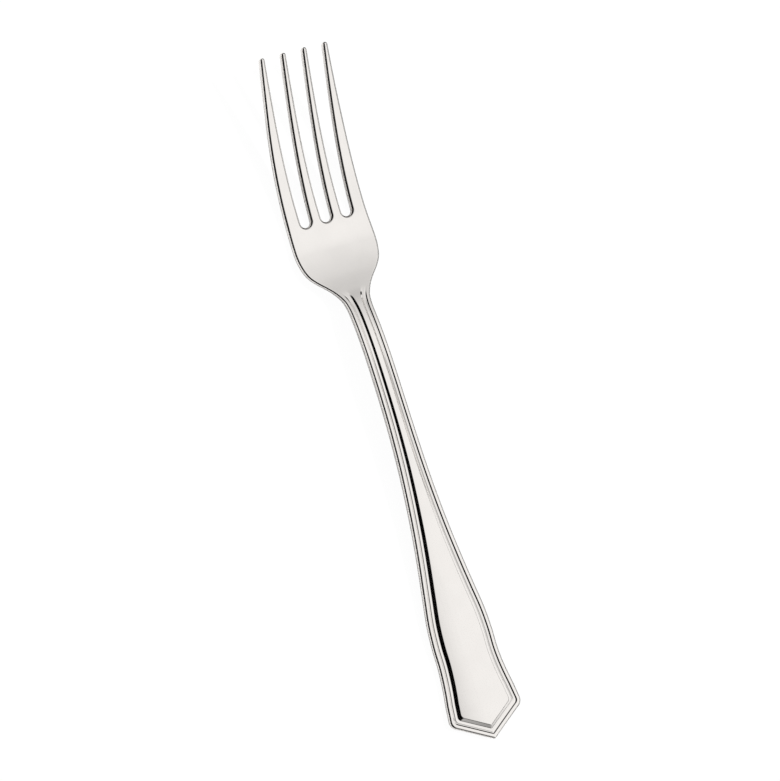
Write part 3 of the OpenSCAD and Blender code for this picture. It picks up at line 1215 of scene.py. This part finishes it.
@dataclass(frozen=True)
class Room:
    """Lights and darks of the room that the steel reflects, at directions fixed in the room.

    Directions are angles in degrees: left and right from straight up towards the fork's sides,
    front and back towards its tines and its handle, ends towards either, and height above the
    table. A range holds its start and its end, and the values there if they aren't 0 and 1.
    """
    dark_near: Fade = (-25, 2)
    dark_near_front: Fade = (-4, 10, 0, -12)
    dark_far: Fade = (69, 82, 1, 0)
    dark_far_left: Fade = (80, 96, 1, 0)
    dark_far_ends: Fade = (8, 18)
    back_end: Fade = (36, 62, 1, 0.15)
    back_end_left: Fade = (18, 35)
    both_ends: Fade = (48, 80, 1, 0)
    low_height: Fade = (22, 48, 0.7, 0)
    low_ends: Fade = (8, 24)
    low_left: Fade = (-70, -45)
    strip_start: Fade = (43, 52)
    strip_end: Fade = (64, 73, 1, 0)
    strip_depth: float = 0.97
    ahead_front: Fade = (3, 46, 1, 0.52)
    corner_right: Fade = (44, 54, 0, 0.85)
    corner_front: Fade = (16, 26)
    behind_start: Fade = (12, 22)
    behind_end: Fade = (40, 50, 1, 0)
    behind_left: Fade = (-18, -6, 0, 0.95)
    behind_far: Fade = (60, 68, 0, 0.9)

    def brightness(self, sketch: NodeSketch) -> Socket:
        """Brightness of the room in a ray's direction.

        A dark zone lies high on the left, with a near side that leans away ahead of the fork,
        and a dark strip low on the right. The room is dimmer ahead, behind and low at both ends.

        Args:
            sketch: Calls that add to the world's tree.

        Returns:
            Brightness from 0 to 1.
        """
        ramp, times, most, rest = sketch.ramp, sketch.times, sketch.most, sketch.rest
        x, y, z = sketch.separate(sketch.add("TexCoord").outputs["Generated"])
        left = sketch.degrees("ARCTAN2", times(x, -1.0), z)
        front, height = sketch.degrees("ARCSINE", y), sketch.degrees("ARCSINE", z)
        right, back, ends = times(left, -1.0), times(front, -1.0), sketch.math("ABSOLUTE", front)
        lean = ramp(front, *self.dark_near_front)
        near = ramp(sketch.plus(left, lean), *self.dark_near)
        far_ends = times(ramp(left, *self.dark_far_left), ramp(ends, *self.dark_far_ends))
        far = most(ramp(left, *self.dark_far), far_ends)
        sideways = most(ramp(back, *self.back_end), ramp(left, *self.back_end_left))
        length = times(ramp(ends, *self.both_ends), sideways)
        dark = times(near, far, length)
        strip = times(ramp(right, *self.strip_start), ramp(right, *self.strip_end))
        beside = times(strip, length, self.strip_depth)
        low = times(ramp(height, *self.low_height), ramp(ends, *self.low_ends),
                    ramp(left, *self.low_left))
        corner = times(ramp(right, *self.corner_right), ramp(front, *self.corner_front))
        beyond = times(ramp(back, *self.behind_start), ramp(back, *self.behind_end),
                       ramp(left, *self.behind_left))
        behind = most(beyond, ramp(back, *self.behind_far))
        return times(rest(behind), rest(dark), rest(beside), ramp(front, *self.ahead_front),
                     rest(corner), rest(low))


@dataclass
class Studio:
    """White studio: the photograph's camera, a white floor, a lamp, a sun and the room."""
    tilt: float = math.radians(24.0)
    pitch: float = math.radians(0.028)
    roll: float = math.radians(17.91)
    distance: float = 0.8236
    aim: tuple[float, float, float] = (0.003296, 0.002226, 0.0)
    focal_pixels: float = 2850.0
    image_height: int = 781
    sensor: float = 36.0
    clip_start: float = 0.01
    floor_half: float = 2.0
    floor_drop: float = 0.0001
    floor_glow: float = 0.96
    paper: float = 0.9
    neck_y: float = 0.0205
    # painted shade: where the floor turns dark in the steel's reflections beside the fork's right
    # side, and how dark
    painted_shade_edge: Fade = (0.006, 0.05, 0.006, 0.0105)
    gloss_painted_shade: Fade = (0.0, 0.002, 0.5, 0.03)
    lamp_size: float = 1.2
    lamp_energy: float = 6.0
    lamp_at: tuple[float, float, float] = (0.5, 0.5, 1.6)
    sun_energy: float = 3.2
    sun_spread: float = math.radians(5)
    sun_tilt: float = math.radians(32)
    ambient: float = 0.85
    room: Room = Room()

    def camera(self) -> None:
        """Camera at the photograph's angle and distance, turned about the point it looks at."""
        data = bpy.data.cameras.new("photograph_camera")
        data.sensor_width = self.sensor
        data.lens = self.focal_pixels * self.sensor / self.image_height
        data.clip_start = self.clip_start
        camera = bpy.data.objects.new("photograph_camera", data)
        turn = (Matrix.Rotation(-self.tilt, 4, "Y") @ Matrix.Rotation(self.pitch, 4, "X")
                @ Matrix.Rotation(-self.roll, 4, "Z"))
        away = Matrix.Translation((0, 0, self.distance))
        camera.matrix_world = Matrix.Translation(self.aim) @ turn @ away
        bpy.context.scene.collection.objects.link(camera)
        bpy.context.scene.camera = camera

    def floor(self) -> None:
        """White floor that keeps the fork's shadow.

        In gloss it is paper under the fork and at its left, and painted shade at its right: a dark
        patch, seen only in the steel's reflections, whose edge follows the fork's right side. The
        edge's range says how far from the middle line the painted shade starts, by the distance
        from the neck, and the gloss range how the paper turns into the painted shade from there.
        """
        h, z = self.floor_half, -self.floor_drop
        mesh = bpy.data.meshes.new("floor")
        mesh.from_pydata([(-h, -h, z), (h, -h, z), (h, h, z), (-h, h, z)], [], [(0, 1, 2, 3)])
        floor = bpy.data.objects.new("floor", mesh)
        material = bpy.data.materials.new("white_floor")
        material.use_nodes = True
        material.node_tree.nodes.clear()
        sketch = NodeSketch(material.node_tree)
        minus, times = sketch.minus, sketch.times
        path = sketch.add("LightPath").outputs
        glossy = path["Is Glossy Ray"]
        across, along, _ = sketch.separate(sketch.add("TexCoord").outputs["Object"])
        # painted shade: for glossy rays the floor turns dark beside the fork's right side, so the
        # steel reflects shade there
        painted_shade_line = sketch.ramp(sketch.math("ABSOLUTE", minus(along, self.neck_y)), *self.painted_shade_edge)
        gloss_shade = sketch.ramp(minus(across, painted_shade_line), *self.gloss_painted_shade)
        darker = times(glossy, minus(self.paper, gloss_shade))
        paper = sketch.add("BsdfDiffuse", {"Color": sketch.grey(minus(self.paper, darker))})
        seen = sketch.most(path["Is Camera Ray"], glossy, path["Is Transmission Ray"])
        share = minus(times(seen, self.floor_glow), times(glossy, self.floor_glow))
        mix = sketch.add("MixShader", {0: share, 1: paper.outputs[0],
                                       2: sketch.add("Emission").outputs[0]})
        sketch.add("OutputMaterial", {0: mix.outputs[0]})
        mesh.materials.append(material)
        bpy.context.scene.collection.objects.link(floor)

    def light(self, name: str, kind: str, energy: float) -> bpy.types.Object:
        """Light that isn't seen in the steel itself.

        Args:
            name: Name of the light.
            kind: Blender's name of its type.
            energy: Its power or strength.

        Returns:
            The light, in the scene.
        """
        light = bpy.data.objects.new(name, bpy.data.lights.new(name, kind))
        light.data.energy = energy
        light.visible_glossy = False
        bpy.context.scene.collection.objects.link(light)
        return light

    def lights(self) -> None:
        """Large soft lamp above the right of the fork, and a sun from the right."""
        lamp = self.light("soft_lamp", "AREA", self.lamp_energy)
        lamp.data.shape = "DISK"
        lamp.data.size = self.lamp_size
        lamp.location = self.lamp_at
        lamp.rotation_euler = (-lamp.location).to_track_quat("-Z", "Y").to_euler()
        sun = self.light("side_sun", "SUN", self.sun_energy)
        sun.data.angle = self.sun_spread
        sun.rotation_euler = (0, self.sun_tilt, 0)

    def world(self) -> None:
        """White surroundings, which show the room in gloss and give ambient light otherwise."""
        world = bpy.data.worlds.new("studio")
        bpy.context.scene.world = world
        world.use_nodes = True
        world.node_tree.nodes.clear()
        sketch = NodeSketch(world.node_tree)
        path = sketch.add("LightPath").outputs
        gloss = sketch.most(path["Is Glossy Ray"], path["Is Transmission Ray"])
        room = sketch.times(self.room.brightness(sketch), gloss)
        shade = sketch.plus(room, sketch.rest(gloss))
        seen = sketch.most(path["Is Camera Ray"], gloss)
        strength = sketch.plus(sketch.times(seen, 1.0 - self.ambient), self.ambient)
        background = sketch.add("Background", {"Color": sketch.grey(shade),
                                               "Strength": strength})
        sketch.add("OutputWorld", {0: background.outputs[0]})

    def build(self) -> None:
        """Sets up the whole studio."""
        bpy.context.scene.view_settings.view_transform = "Standard"
        self.camera()
        self.floor()
        self.lights()
        self.world()


@dataclass
class DinnerFork:
    """The whole fork: seven skins of one polished blank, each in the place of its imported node."""
    handle: Handle = field(default_factory=Handle)
    neck: Neck = field(default_factory=Neck)
    head: Head = field(default_factory=Head)
    tines: tuple[Tine, ...] = (
        Tine(side=Side.LEFT, lane=Lane.OUTER), Tine(side=Side.LEFT, lane=Lane.INNER),
        Tine(side=Side.RIGHT, lane=Lane.INNER), Tine(side=Side.RIGHT, lane=Lane.OUTER))
    steel: PolishedSteel = PolishedSteel()

    def build(self) -> None:
        """Builds the skins with shared normals and the steel, in the places of their nodes."""
        parts = {"handle": self.handle, "neck": self.neck, "head": self.head}
        parts.update({tine.name: tine for tine in self.tines})
        shells = [part.shell() for part in parts.values()]
        material = self.steel.material()
        for node, shell, normals in zip(parts, shells, shared_normals(shells)):
            piece = shell.to_object(normals)
            piece.data.materials.append(material)
            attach(piece, BODY)
            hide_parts(node)
            log.info("%s: %d points, %d faces", piece.name, len(shell.points), len(shell.faces))


def main() -> None:
    """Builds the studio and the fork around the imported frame."""
    logging.basicConfig(level=logging.INFO, format="%(name)s: %(message)s")
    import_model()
    Studio().build()
    DinnerFork().build()
    bpy.context.view_layer.update()


if __name__ == "__main__":
    main()
